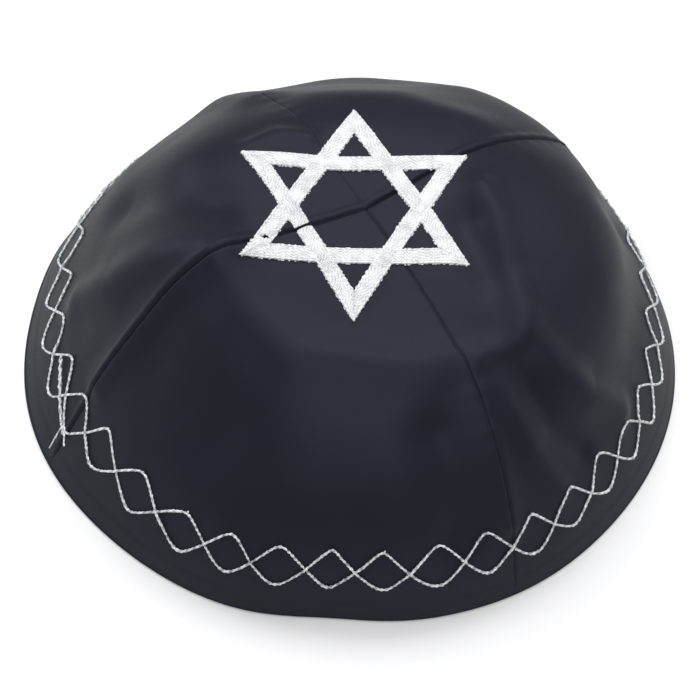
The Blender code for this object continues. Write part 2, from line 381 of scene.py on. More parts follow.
def side_weights(direction):
    """How far each direction belongs to the front, right, back and left. They add up to 1."""
    to_right, to_back = np.cos(direction), np.sin(direction)
    return [np.maximum(turned, 0) ** 2 for turned in (-to_back, to_right, to_back, -to_right)]


def calm_point(direction, way):
    """The cap's outside without folds and seams. It is round near the crown and oval at the rim."""
    weights = side_weights(direction)
    out = sum(weight * np.interp(way, WAYS, side[0]) for weight, side in zip(weights, SIDES))
    up = sum(weight * np.interp(way, WAYS, side[1]) for weight, side in zip(weights, SIDES))
    radius = out * (RIM_MEAN + (rim_radius(direction) - RIM_MEAN) * out)
    x = radius * np.cos(direction) + CROWN_SIDE_LEAN * up
    y = radius * np.sin(direction) + CROWN_BACK_LEAN * up
    return np.stack([x, y, CROWN_HEIGHT * up], axis=-1)


def on_pattern(direction, way):
    """The place on the cloth laid out flat round the crown, as shares of the arc."""
    return np.stack([way * np.cos(direction), way * np.sin(direction)], axis=-1)


def distance_to(line, places):
    """How far each place on the pattern is from a line of (direction in degrees, way)."""
    corners = [on_pattern(math.radians(deg), way) for deg, way in line]
    nearest = np.full(places.shape[:-1], np.inf)
    for start, end in zip(corners, corners[1:]):
        run = end - start
        share = np.clip((places - start) @ run / (run @ run), 0, 1)
        nearest = np.minimum(nearest, np.linalg.norm(places - start - share[..., None] * run, axis=-1))
    return nearest


def seam_distance(seam, places):
    """How far each place on the pattern is from a seam, in metres."""
    return ARC * distance_to(((seam.deg, 0.0), (seam.deg, 1.0)), places)


def cloth_lift(direction, way):
    """How far folds and seams lift the cloth off its calm form."""
    places = on_pattern(direction, way)
    lift = np.zeros(places.shape[:-1])
    for fold in FOLDS:
        lift += fold.lift * CROWN_HEIGHT * bump(distance_to(fold.line, places), fold.reach)
    seam = np.min([seam_distance(seam, places) for seam in SEAMS], axis=0)
    lift -= SEAM_DIP * bump(seam, SEAM_DIP_REACH)
    return lift * smooth_step((1 - way) / RIM_CALM)


def normal_of(point_at, direction, way):
    """The outward normal of a surface that point_at gives, taken a small step inside its ends."""
    way = np.clip(way, NORMAL_STEP, 1 - NORMAL_STEP)
    down = point_at(direction, way + NORMAL_STEP) - point_at(direction, way - NORMAL_STEP)
    round_it = point_at(direction + NORMAL_STEP, way) - point_at(direction - NORMAL_STEP, way)
    normal = np.cross(down, round_it)
    return normal / np.linalg.norm(normal, axis=-1, keepdims=True)


def cloth_point(direction, way):
    """The cap's outside with its folds, as packed."""
    lift = cloth_lift(direction, way)[..., None]
    return calm_point(direction, way) + lift * normal_of(calm_point, direction, way)


def cloth_normal(direction, way):
    return normal_of(cloth_point, direction, way)


def inside_point(direction, way):
    """The cap's inside: one wall behind the outside, and thicker in the hem."""
    hem_start = 1 - HEM_DEPTH / ARC
    into_hem = (way - hem_start) / (1 - hem_start)
    wall = SATIN_WALL + (HEM_WALL - SATIN_WALL) * smooth_step((way - hem_start) * ARC / HEM_STEP)
    inward = -cloth_normal(direction, way)
    inward[..., 2] *= 1 - smooth_step(into_hem)
    inward /= np.linalg.norm(inward, axis=-1, keepdims=True)
    return cloth_point(direction, way) + wall[..., None] * inward


def dents(places):
    """Soft random dents of the satin, as a share of their rise."""
    draw = np.random.default_rng(DENT_SEED)
    total = np.zeros(places.shape[:-1])
    for _ in range(DENT_WAVES):
        spacing = draw.uniform(*DENT_SPACING)
        heading, phase = draw.uniform(0, 2 * math.pi, 2)
        run = places @ (math.cos(heading), math.sin(heading)) * ARC
        total += np.cos(2 * math.pi * run / spacing + phase) * spacing / DENT_SPACING[1]
    return total / math.sqrt(DENT_WAVES / 2)


def seam_relief(distance, groove, lip, way):
    """The cloth beside a seam: its groove, its lip, and the small puckers that the stitches draw."""
    pucker = np.cos(2 * math.pi * way * ARC / PUCKER_SPACING) * bump(distance, PUCKER_REACH)
    lifted = lip * bump(distance - LIP_PLACE, LIP_REACH) - groove * bump(distance, GROOVE_REACH)
    return lifted + PUCKER_RISE * pucker


def satin_point(panel, direction, way):
    """The outside of a panel's satin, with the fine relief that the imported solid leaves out."""
    places = on_pattern(direction, way)
    start, end = panel.start_seam, panel.end_seam
    calm = smooth_step((1 - way) / RIM_CALM)
    from_rim = (1 - way) * ARC
    onset = np.minimum(calm * SEAM_ONSET, 1)
    relief = seam_relief(seam_distance(start, places), start.groove, start.lip_after, way) * onset
    relief += seam_relief(seam_distance(end, places), end.groove, end.lip_before, way) * onset
    relief += DENT_RISE * dents(places) * calm
    relief -= HEM_LINE_RISE * smooth_step((from_rim - HEM_LINE) / HEM_LINE_REACH)
    point = cloth_point(direction, way) + relief[..., None] * cloth_normal(direction, way)
    point[..., 2] = np.maximum(point[..., 2], 0) + RIM_FOLD * smooth_step(1 - from_rim / RIM_FOLD_REACH)
    return point


def panel_places(panel):
    """Directions and ways of a panel's grid, closest together beside its seams and at its rim."""
    start, end = math.radians(panel.from_deg), math.radians(panel.to_deg)
    half_span = (end - start) / 2
    tip_way = np.interp(SEAM_GAP / 2 / math.sin(half_span) / RIM_MEAN, OUT_SHARES, WAYS)
    fine_start = 1 - RIM_GRID_DEPTH / ARC
    upper = np.linspace(tip_way, fine_start, PANEL_ROWS - RIM_GRID_ROWS, endpoint=False)
    closing = np.sin(np.linspace(0, math.pi / 2, RIM_GRID_ROWS + 1))
    ways = np.concatenate([upper, fine_start + (1 - fine_start) * closing])
    radius = RIM_MEAN * np.interp(ways, WAYS, OUT_SHARES)
    edge = np.arcsin(np.clip(SEAM_GAP / 2 / radius, 0, math.sin(half_span)))
    share = (1 - np.cos(np.linspace(0, math.pi, PANEL_COLUMNS + 1))) / 2
    direction = (start + edge)[:, None] + (end - start - 2 * edge)[:, None] * share
    return direction, np.broadcast_to(ways[:, None], direction.shape)


def rim_fold(outside, inside):
    """Rows that carry the satin round the rim's fold, from the outside's last row to the inside's."""
    rows = []
    for share in np.linspace(0, 1, RIM_FOLD_ROWS + 2)[1:-1]:
        row = outside + (inside - outside) * share
        row[:, 2] = RIM_FOLD * (2 * share - 1) ** 4
        rows.append(row)
    return np.array(rows)


def linear_colour(hex_code):
    """The sRGB hex colour as linear values with alpha."""
    shares = [int(hex_code[i : i + 2], 16) / 255 for i in (0, 2, 4)]
    return [s / 12.92 if s <= 0.04045 else ((s + 0.055) / 1.055) ** 2.4 for s in shares] + [1.0]


def add_node(tree, kind, inputs=(), **settings):
    """Adds a node. inputs gives its sockets, by name or number, values or other nodes' sockets."""
    node = tree.nodes.new(kind)
    for name, value in settings.items():
        setattr(node, name, value)
    for socket, value in dict(inputs).items():
        if isinstance(value, bpy.types.NodeSocket):
            tree.links.new(value, node.inputs[socket])
        else:
            node.inputs[socket].default_value = value
    return node


def new_material(name):
    """A new material with its node tree and shader."""
    material = bpy.data.materials.new(name)
    material.use_nodes = True
    return material, material.node_tree, material.node_tree.nodes["Principled BSDF"]


def woven_satin(name, dark_hex, light_hex):
    """Piece-dyed polyester satin, woven with long floats that lie flat and give a soft, broad gloss.

    Its threads are 0.1 mm apart. The floats are drawn 0.35 mm apart, or they wouldn't show.
    """
    material, tree, shader = new_material(name)
    cloth = add_node(tree, "ShaderNodeUVMap", uv_map="cloth")
    floats = add_node(tree, "ShaderNodeMapping", {"Vector": cloth.outputs["UV"], "Scale": (2860, 720, 1)})
    weave = add_node(
        tree, "ShaderNodeTexNoise", {"Vector": floats.outputs["Vector"], "Scale": 1.0, "Detail": 1.0}
    )
    place = add_node(tree, "ShaderNodeTexCoord")
    tone = add_node(
        tree, "ShaderNodeTexNoise", {"Vector": place.outputs["Object"], "Scale": 28.0, "Detail": 2.0}
    )
    base_colour = add_node(
        tree,
        "ShaderNodeMix",
        {0: tone.outputs["Fac"], 6: linear_colour(dark_hex), 7: linear_colour(light_hex)},
        data_type="RGBA",
    )
    rough = add_node(
        tree,
        "ShaderNodeMapRange",
        {"Value": weave.outputs["Fac"], "From Min": 0.3, "From Max": 0.7, "To Min": 0.48, "To Max": 0.56},
    )
    relief = add_node(
        tree, "ShaderNodeBump", {"Height": weave.outputs["Fac"], "Strength": 0.10, "Distance": 0.00008}
    )
    tree.links.new(base_colour.outputs[2], shader.inputs["Base Color"])
    tree.links.new(rough.outputs["Result"], shader.inputs["Roughness"])
    tree.links.new(relief.outputs["Normal"], shader.inputs["Normal"])
    shader.inputs["IOR"].default_value = 1.5
    shader.inputs["Specular IOR Level"].default_value = 0.20
    shader.inputs["Specular Tint"].default_value = linear_colour("E2E4FF")
    return material


def twisted_thread(name, dark_hex, light_hex, twist_length, roughness, metallic):
    """Lustrous thread of two plies: slanting ridges, with the valleys between them painted darker as painted
    shade.
    """
    material, tree, shader = new_material(name)
    along = add_node(tree, "ShaderNodeAttribute", attribute_name="along")
    around = add_node(tree, "ShaderNodeAttribute", attribute_name="around")
    side = add_node(tree, "ShaderNodeSeparateXYZ", {"Vector": around.outputs["Vector"]})
    turn = add_node(
        tree, "ShaderNodeMath", {0: along.outputs["Fac"], 1: 2 * math.pi / twist_length}, operation="MULTIPLY"
    )
    sine = add_node(tree, "ShaderNodeMath", {0: turn.outputs[0]}, operation="SINE")
    cosine = add_node(tree, "ShaderNodeMath", {0: turn.outputs[0]}, operation="COSINE")
    across = add_node(
        tree, "ShaderNodeMath", {0: sine.outputs[0], 1: side.outputs["X"]}, operation="MULTIPLY"
    )
    ply = add_node(
        tree,
        "ShaderNodeMath",
        {0: cosine.outputs[0], 1: side.outputs["Y"], 2: across.outputs[0]},
        operation="MULTIPLY_ADD",
    )
    place = add_node(tree, "ShaderNodeTexCoord")
    patches = add_node(
        tree, "ShaderNodeTexNoise", {"Vector": place.outputs["Object"], "Scale": 420.0, "Detail": 3.0}
    )
    # Painted shade: the colour is darker in the ply valleys and lighter on the ridges; the noise patches add
    # random tone.
    tone = add_node(
        tree,
        "ShaderNodeMath",
        {0: ply.outputs[0], 1: 0.22, 2: patches.outputs["Fac"]},
        operation="MULTIPLY_ADD",
    )
    light = add_node(
        tree, "ShaderNodeMapRange", {"Value": tone.outputs[0], "From Min": 0.25, "From Max": 0.62}
    )
    base_colour = add_node(
        tree,
        "ShaderNodeMix",
        {0: light.outputs["Result"], 6: linear_colour(dark_hex), 7: linear_colour(light_hex)},
        data_type="RGBA",
    )
    relief = add_node(
        tree, "ShaderNodeBump", {"Height": ply.outputs[0], "Strength": 0.5, "Distance": 0.00006}
    )
    tree.links.new(base_colour.outputs[2], shader.inputs["Base Color"])
    tree.links.new(relief.outputs["Normal"], shader.inputs["Normal"])
    shader.inputs["Roughness"].default_value = roughness
    shader.inputs["Metallic"].default_value = metallic
    shader.inputs["Sheen Weight"].default_value = 0.15
    shader.inputs["Sheen Roughness"].default_value = 0.4
    return material


def studio_paper(name):
    """Matte white background paper: very even, with the faintest tooth."""
    material, tree, shader = new_material(name)
    place = add_node(tree, "ShaderNodeTexCoord")
    tooth = add_node(
        tree, "ShaderNodeTexNoise", {"Vector": place.outputs["Object"], "Scale": 900.0, "Detail": 2.0}
    )
    relief = add_node(
        tree, "ShaderNodeBump", {"Height": tooth.outputs["Fac"], "Strength": 0.05, "Distance": 0.0001}
    )
    tree.links.new(relief.outputs["Normal"], shader.inputs["Normal"])
    shader.inputs["Base Color"].default_value = linear_colour("F4F4F5")
    shader.inputs["Roughness"].default_value = 0.9
    shader.inputs["Specular IOR Level"].default_value = 0.1
    return material


def link_piece(name, mesh):
    piece = bpy.data.objects.new(name, mesh)
    bpy.context.scene.collection.objects.link(piece)
    return piece


def finish_piece(piece, slot_name, *nodes):
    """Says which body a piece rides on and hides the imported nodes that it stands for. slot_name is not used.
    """
    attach(piece, "root")
    if nodes:
        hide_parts(*nodes)


def grid_quads(numbers):
    """Faces of a grid of point numbers. A face at the tip, where numbers repeat, becomes a triangle."""
    faces = []
    for low, high in zip(numbers, numbers[1:]):
        for column in range(len(low) - 1):
            ring = (low[column], high[column], high[column + 1], low[column + 1])
            faces.append(tuple(dict.fromkeys(ring)))
    return faces


def make_panel(panel, satin):
    """One gore: down its outside, round the fold at its rim, and up its inside to the tip."""
    direction, way = panel_places(panel)
    outside = satin_point(panel, direction, way)
    inside = inside_point(direction, way)
    fold = rim_fold(outside[-1], inside[-1])
    points = np.concatenate([outside, fold, inside[::-1]])
    numbers = np.arange(points.shape[0] * points.shape[1]).reshape(points.shape[:2])
    numbers[0] = numbers[0, 0]
    numbers[-1] = numbers[-1, 0]
    faces = grid_quads(numbers.tolist())
    rows = len(outside)
    for column, is_start in ((0, True), (-1, False)):
        out_edge, in_edge = numbers[:rows, column].tolist(), numbers[: -rows - 1 : -1, column].tolist()
        sides = [(a, b, c, d) for a, b, c, d in zip(out_edge, in_edge, in_edge[1:], out_edge[1:])]
        sides.append((out_edge[-1], in_edge[-1], *numbers[rows:-rows, column].tolist()[::-1]))
        faces += sides if is_start else [side[::-1] for side in sides]
    used, faces_flat = np.unique(np.concatenate([np.array(face) for face in faces]), return_inverse=True)
    ends = np.cumsum([len(face) for face in faces])[:-1]
    faces = [face.tolist() for face in np.split(faces_flat, ends)]
    mesh = bpy.data.meshes.new(panel.name)
    mesh.from_pydata(points.reshape(-1, 3)[used].tolist(), [], faces)
    flat = on_pattern(direction - math.radians(panel.from_deg + panel.to_deg) / 2, way) * ARC
    flat = np.concatenate([flat, np.repeat(flat[-1:], RIM_FOLD_ROWS, axis=0), flat[::-1]])
    flat = flat.reshape(-1, 2)[used]
    uv = mesh.uv_layers.new(name="cloth")
    uv.uv.foreach_set("vector", flat[faces_flat].ravel())
    mesh.materials.append(satin)
    mesh.shade_smooth()
    mesh.set_sharp_from_angle(angle=math.radians(50))
    mesh.update()
    finish_piece(link_piece(panel.name, mesh), "satin", panel.node)


def new_tree(name, sizes):
    """A Geometry Nodes tree with a named input for each size, and its input and output nodes."""
    tree = bpy.data.node_groups.new(name, "GeometryNodeTree")
    tree.interface.new_socket("Geometry", in_out="INPUT", socket_type="NodeSocketGeometry")
    for label, kind in sizes.items():
        tree.interface.new_socket(label, in_out="INPUT", socket_type=kind)
    tree.interface.new_socket("Geometry", in_out="OUTPUT", socket_type="NodeSocketGeometry")
    return tree, add_node(tree, "NodeGroupInput"), add_node(tree, "NodeGroupOutput")


def thread_along(tree, inputs, curve, scale, sides, start=0.0):
    """Nodes that carry a thread's oval section along its path, and store what its material reads."""
    ring = add_node(
        tree, "GeometryNodeCurvePrimitiveCircle", {"Resolution": sides, "Radius": 1.0}, mode="RADIUS"
    )
    place = add_node(tree, "GeometryNodeInputPosition")
    around = add_node(
        tree,
        "GeometryNodeStoreNamedAttribute",
        {"Geometry": ring.outputs["Curve"], "Name": "around", "Value": place.outputs["Position"]},
        data_type="FLOAT_VECTOR",
    )
    full = add_node(
        tree,
        "ShaderNodeCombineXYZ",
        {"X": inputs.outputs["Width"], "Y": inputs.outputs["Thickness"], "Z": 1.0},
    )
    halved = add_node(
        tree, "ShaderNodeVectorMath", {0: full.outputs["Vector"], "Scale": 0.5}, operation="SCALE"
    )
    oval = add_node(
        tree,
        "GeometryNodeTransform",
        {"Geometry": around.outputs["Geometry"], "Scale": halved.outputs["Vector"]},
    )
    run = add_node(tree, "GeometryNodeSplineParameter")
    length = add_node(tree, "ShaderNodeMath", {0: run.outputs["Length"], 1: start}, operation="ADD")
    along = add_node(
        tree,
        "GeometryNodeStoreNamedAttribute",
        {"Geometry": curve, "Name": "along", "Value": length.outputs[0]},
        data_type="FLOAT",
    )
    body = add_node(
        tree,
        "GeometryNodeCurveToMesh",
        {
            "Curve": along.outputs["Geometry"],
            "Profile Curve": oval.outputs["Geometry"],
            "Scale": scale,
            "Fill Caps": True,
        },
    )
    smooth = add_node(tree, "GeometryNodeSetShadeSmooth", {"Geometry": body.outputs["Mesh"]})
    real = add_node(tree, "GeometryNodeRealizeInstances", {"Geometry": smooth.outputs["Geometry"]})
    dyed = add_node(
        tree,
        "GeometryNodeSetMaterial",
        {"Geometry": real.outputs["Geometry"], "Material": inputs.outputs["Material"]},
    )
    return dyed.outputs["Geometry"]


def satin_stitch_tree():
    """A stitch over each edge of the guide: it comes up out of the cloth, arches over and goes down again."""
    sizes = {
        "Width": "NodeSocketFloat",
        "Thickness": "NodeSocketFloat",
        "Ragged End": "NodeSocketFloat",
        "Points": "NodeSocketInt",
        "Seed": "NodeSocketInt",
        "Material": "NodeSocketMaterial",
    }
    tree, inputs, outputs = new_tree("satin_stitch", sizes)
    curve = add_node(tree, "GeometryNodeMeshToCurve", {"Mesh": inputs.outputs["Geometry"]})
    divided = add_node(
        tree,
        "GeometryNodeResampleCurve",
        {"Curve": curve.outputs["Curve"], "Count": inputs.outputs["Points"]},
        mode="COUNT",
    )
    run = add_node(tree, "GeometryNodeSplineParameter")
    swing = add_node(
        tree, "ShaderNodeMath", {0: run.outputs["Factor"], 1: 2.0, 2: -1.0}, operation="MULTIPLY_ADD"
    )
    size = add_node(tree, "ShaderNodeMath", {0: swing.outputs[0]}, operation="ABSOLUTE")
    fall = add_node(
        tree, "ShaderNodeMath", {0: size.outputs[0], 1: STITCH_ARCH_FALL}, operation="POWER"
    )
    arch = add_node(
        tree, "ShaderNodeMath", {0: STITCH_ARCH_TOP, 1: fall.outputs[0]}, operation="SUBTRACT"
    )
    lift = add_node(tree, "GeometryNodeInputNamedAttribute", {"Name": "lift"}, data_type="FLOAT_VECTOR")
    rise = add_node(
        tree,
        "ShaderNodeVectorMath",
        {0: lift.outputs["Attribute"], "Scale": arch.outputs[0]},
        operation="SCALE",
    )
    stitch = add_node(tree, "GeometryNodeCurveOfPoint")
    longest = inputs.outputs["Ragged End"]
    shortest = add_node(tree, "ShaderNodeMath", {0: longest, 1: -1.0}, operation="MULTIPLY")
    chance = add_node(
        tree,
        "FunctionNodeRandomValue",
        {
            2: shortest.outputs[0],
            3: longest,
            "ID": stitch.outputs["Curve Index"],
            "Seed": inputs.outputs["Seed"],
        },
        data_type="FLOAT",
    )
    heading = add_node(tree, "GeometryNodeInputTangent")
    reach = add_node(
        tree, "ShaderNodeMath", {0: chance.outputs[1], 1: swing.outputs[0]}, operation="MULTIPLY"
    )
    ragged = add_node(
        tree,
        "ShaderNodeVectorMath",
        {0: heading.outputs["Tangent"], "Scale": reach.outputs[0]},
        operation="SCALE",
    )
    shift = add_node(
        tree,
        "ShaderNodeVectorMath",
        {0: rise.outputs["Vector"], 1: ragged.outputs["Vector"]},
        operation="ADD",
    )
    arched = add_node(
        tree,
        "GeometryNodeSetPosition",
        {"Geometry": divided.outputs["Curve"], "Offset": shift.outputs["Vector"]},
    )
    upright = add_node(
        tree, "GeometryNodeSetCurveNormal", {"Curve": arched.outputs["Geometry"]}, mode="Z_UP"
    )
    fatness = add_node(
        tree,
        "FunctionNodeRandomValue",
        {
            2: STITCH_FATNESS[0],
            3: STITCH_FATNESS[1],
            "ID": stitch.outputs["Curve Index"],
            "Seed": inputs.outputs["Seed"],
        },
        data_type="FLOAT",
    )
    start = add_node(
        tree,
        "FunctionNodeRandomValue",
        {
            2: 0.0,
            3: STITCH_TWIST_START,
            "ID": stitch.outputs["Curve Index"],
            "Seed": inputs.outputs["Seed"],
        },
        data_type="FLOAT",
    )
    done = thread_along(tree, inputs, upright.outputs["Curve"], fatness.outputs[1], 6, start.outputs[1])
    tree.links.new(done, outputs.inputs["Geometry"])
    return tree


def laid_thread_tree():
    """A thread along each line of the guide, which says how thick it is. Its oval section turns."""
    sizes = {
        "Width": "NodeSocketFloat",
        "Thickness": "NodeSocketFloat",
        "Twist Length": "NodeSocketFloat",
        "Unevenness": "NodeSocketFloat",
        "Material": "NodeSocketMaterial",
    }
    tree, inputs, outputs = new_tree("laid_thread", sizes)
    curve = add_node(tree, "GeometryNodeMeshToCurve", {"Mesh": inputs.outputs["Geometry"]})
    run = add_node(tree, "GeometryNodeSplineParameter")
    turns = add_node(
        tree,
        "ShaderNodeMath",
        {0: run.outputs["Length"], 1: inputs.outputs["Twist Length"]},
        operation="DIVIDE",
    )
    turn = add_node(tree, "ShaderNodeMath", {0: turns.outputs[0], 1: 2 * math.pi}, operation="MULTIPLY")
    twisted = add_node(
        tree, "GeometryNodeSetCurveTilt", {"Curve": curve.outputs["Curve"], "Tilt": turn.outputs[0]}
    )
    place = add_node(tree, "GeometryNodeInputPosition")
    slubs = add_node(
        tree, "ShaderNodeTexNoise", {"Vector": place.outputs["Position"], "Scale": 260.0, "Detail": 1.0}
    )
    centred = add_node(tree, "ShaderNodeMath", {0: slubs.outputs["Fac"], 1: 0.5}, operation="SUBTRACT")
    uneven = add_node(
        tree,
        "ShaderNodeMath",
        {0: centred.outputs[0], 1: inputs.outputs["Unevenness"], 2: 1.0},
        operation="MULTIPLY_ADD",
    )
    thick = add_node(tree, "GeometryNodeInputNamedAttribute", {"Name": "thick"}, data_type="FLOAT")
    scale = add_node(
        tree, "ShaderNodeMath", {0: uneven.outputs[0], 1: thick.outputs["Attribute"]}, operation="MULTIPLY"
    )
    done = thread_along(tree, inputs, twisted.outputs["Curve"], scale.outputs[0], sides=8)
    tree.links.new(done, outputs.inputs["Geometry"])
    return tree


def make_guide(name, points, edges, **attributes):
    """A guide of points and edges, with values for each point that its tree reads."""
    mesh = bpy.data.meshes.new(name)
    mesh.from_pydata(np.asarray(points).tolist(), edges, [])
    for label, values in attributes.items():
        is_vector = np.ndim(values) == 2
        kind, key = ("FLOAT_VECTOR", "vector") if is_vector else ("FLOAT", "value")
        mesh.attributes.new(label, kind, "POINT").data.foreach_set(key, np.ravel(values))
    return link_piece(name, mesh)


def grow_piece(name, guide, tree, sizes):
    """Runs a tree on a guide and keeps the result as a plain mesh."""
    modifier = guide.modifiers.new(name, "NODES")
    modifier.node_group = tree
    for item in tree.interface.items_tree:
        if item.in_out == "INPUT" and item.name in sizes:
            modifier[item.identifier] = sizes[item.name]
    graph = bpy.context.evaluated_depsgraph_get()
    mesh = bpy.data.meshes.new_from_object(guide.evaluated_get(graph))
    mesh.name = name
    bpy.data.objects.remove(guide)
    return link_piece(name, mesh)


def line_edges(lines):
    """The points of several lines in one list, and the edges that join each line's points."""
    edges, count = [], 0
    for line in lines:
        edges += [(count + i, count + i + 1) for i in range(len(line) - 1)]
        count += len(line)
    return np.concatenate(lines), edges


def bar_frame(bar):
    """The way out of the star across one of its six bars, and the way along it."""
    angle = math.radians(30 + 60 * bar)
    return np.array([math.cos(angle), math.sin(angle)]), np.array([-math.sin(angle), math.cos(angle)])


def from_star(flat):
    """The direction and way of flat places that are measured from the star's middle."""
    from_crown = flat + (STAR_SIDE, STAR_BACK)
    return np.arctan2(from_crown[..., 1], from_crown[..., 0]), np.linalg.norm(from_crown, axis=-1) / ARC


def seam_parts(flat, half_gap):
    """Whether a seam's groove parts the threads at these places of the star."""
    direction, way = from_star(flat)
    places = on_pattern(direction, way)
    return seam_distance(FRONT_LEFT_SEAM, places) < half_gap


def crossing_share(flat):
    """1 where an upper bar lies on a lower one, fading to 0 beside it."""
    share = np.zeros(flat.shape[:-1])
    for bar in (0, 2, 4):
        outward, _ = bar_frame(bar)
        off_middle = np.abs(flat @ outward - BAR_OUTER + STAR_BAR / 2) / (STAR_BAR / 2)
        share = np.maximum(share, smooth_step(CROSSING_SOFTNESS - off_middle))
    return share


def star_stitches():
    """Each stitch's two ends as flat places, and how high it arches. Bars 1, 3 and 5 lie on top."""
    half_length = BAR_OUTER * math.sqrt(3)
    ends, rises = [], []
    for bar in (0, 2, 4, 1, 3, 5):
        outward, onward = bar_frame(bar)
        for place in np.arange(-half_length + STITCH_SPACING, half_length, STITCH_SPACING):
            near = max(BAR_INNER, abs(place) / math.sqrt(3) - MITRE_OVERLAP)
            pair = np.array([outward * near + onward * place, outward * BAR_OUTER + onward * place])
            if seam_parts(pair.mean(axis=0), STITCH_PARTING):
                continue
            over = crossing_share(pair.mean(axis=0)) if bar % 2 else 0.0
            ends.append(pair)
            rises.append(STITCH_RISE + (STITCH_RISE_OVER - STITCH_RISE) * over)
    return np.array(ends), np.array(rises)


def make_star_stitches(tree, thread):
    ends, rises = star_stitches()
    direction, way = from_star(ends)
    cloth = cloth_point(direction, way)
    normal = cloth_normal(direction, way)
    lift = normal * rises[:, None, None]
    edges = [(2 * i, 2 * i + 1) for i in range(len(ends))]
    guide = make_guide("stitch_guide", cloth.reshape(-1, 3), edges, lift=lift.reshape(-1, 3))
    sizes = {
        "Width": STITCH_WIDTH,
        "Thickness": STITCH_THICKNESS,
        "Ragged End": STITCH_RAGGED_END,
        "Points": STITCH_POINTS,
        "Seed": STITCH_SEED,
        "Material": thread,
    }
    return grow_piece("star_satin_stitches", guide, tree, sizes)


def make_star_underlay(tree, thread):
    """Threads along each bar under its stitches, which fill it and hold it up."""
    nearest, farthest = BAR_INNER + UNDERLAY_SPACING / 2, BAR_OUTER - UNDERLAY_SPACING / 3
    lines = []
    for bar in range(6):
        outward, onward = bar_frame(bar)
        for off in np.arange(nearest, farthest, UNDERLAY_SPACING):
            half = off * math.sqrt(3) - UNDERLAY_END_GAP
            steps = np.linspace(-half, half, int(2 * half / UNDERLAY_STEP) * 2)
            flat = outward * off + onward * steps[:, None]
            parted = np.flatnonzero(seam_parts(flat, UNDERLAY_PARTING))
            pieces = np.split(flat, [parted[0], parted[-1] + 1]) if len(parted) else [flat]
            lines += [piece for piece in pieces[:: 2 if len(parted) else 1] if len(piece) > 1]
    flat, edges = line_edges(lines)
    direction, way = from_star(flat)
    points = cloth_point(direction, way) + UNDERLAY_LIFT * cloth_normal(direction, way)
    guide = make_guide("underlay_guide", points, edges, thick=np.ones(len(points)))
    sizes = {
        "Width": UNDERLAY_WIDTH,
        "Thickness": UNDERLAY_WIDTH,
        "Twist Length": TRIM_TWIST,
        "Unevenness": 0.3,
        "Material": thread,
    }
    return grow_piece("star_underlay", guide, tree, sizes)


def trim_turn(station, is_high):
    """The direction in degrees and the distance from the rim, in metres, of one of the trim's turns."""
    stations = [anchor.station for anchor in TRIM_ANCHORS]
    deg = np.interp(station, stations, [anchor.deg for anchor in TRIM_ANCHORS])
    heights = [anchor.high if is_high else anchor.low for anchor in TRIM_ANCHORS]
    return np.array([deg, np.interp(station, stations, heights) / 1000])


def risen_share(share, low_bend, high_bend):
    """How far a thread has risen on its way from a low turn to a high one. It bends round at both."""
    steps = np.linspace(0, 1, 200)
    steepness = steps / np.hypot(steps, low_bend) * (1 - steps) / np.hypot(1 - steps, high_bend)
    risen = np.cumsum(steepness) - steepness[0]
    return np.interp(share, steps, risen / risen[-1])


def soft_wobble(count, draw, spacing):
    """A closed run of smooth random values round 0, of about 1 in size."""
    knots = draw.normal(size=max(int(count / spacing), 4))
    return np.interp(np.arange(count), np.linspace(0, count, len(knots) + 1), [*knots, knots[0]])


def trim_line(starts_high, draw):
    """One of the trim's two threads round the whole cap: directions, distances from the rim, and lifts."""
    run, height, lift, thick = [], [], [], []
    bends = draw.uniform(*np.transpose([TRIM_LOW_BEND, TRIM_HIGH_BEND]), size=(TRIM_STATIONS + 1, 2))
    bends[-1] = bends[0]
    for station in range(TRIM_STATIONS):
        is_high = (station % 2 == 0) == starts_high
        here, there = trim_turn(station, is_high), trim_turn(station + 1, not is_high)
        share = np.linspace(0, 1, TRIM_STEPS, endpoint=False)
        low_bend, high_bend = bends[station + is_high, 0], bends[station + (not is_high), 1]
        risen = risen_share(1 - share if is_high else share, low_bend, high_bend)
        low, high = (there, here) if is_high else (here, there)
        run.append(here[0] + (there[0] - here[0]) * share)
        height.append(low[1] + (high[1] - low[1]) * risen)
        crossing = bump(share - 0.5, TRIM_CROSSING_REACH) * TRIM_CROSSING_RISE * (1 if starts_high else 0)
        lift.append(TRIM_THICKNESS * TRIM_LIFT_SHARE + crossing)
        from_low = 1 - share if is_high else share
        thick.append(1 + TRIM_SWELL * bump(from_low - TRIM_SWELL_PLACE, TRIM_SWELL_REACH))
    run, height, lift, thick = (np.concatenate(part) for part in (run, height, lift, thick))
    count = len(run)
    height = height + TRIM_WOBBLE * soft_wobble(count, draw, TRIM_WOBBLE_STEPS)
    run = run + math.degrees(TRIM_WOBBLE / RIM_MEAN) * soft_wobble(count, draw, TRIM_WOBBLE_STEPS)
    window = np.hanning(7)[1:-1] / np.hanning(7)[1:-1].sum()
    height = np.convolve(np.pad(height, 2, mode="wrap"), window, mode="valid")
    return run, height, lift, thick


def on_rim_cloth(run_deg, from_rim, lift):
    """Points over the cloth, by direction in degrees, distance from the rim and lift."""
    direction, way = np.radians(run_deg), 1 - np.asarray(from_rim) / ARC
    return cloth_point(direction, way) + np.asarray(lift)[..., None] * cloth_normal(direction, way)


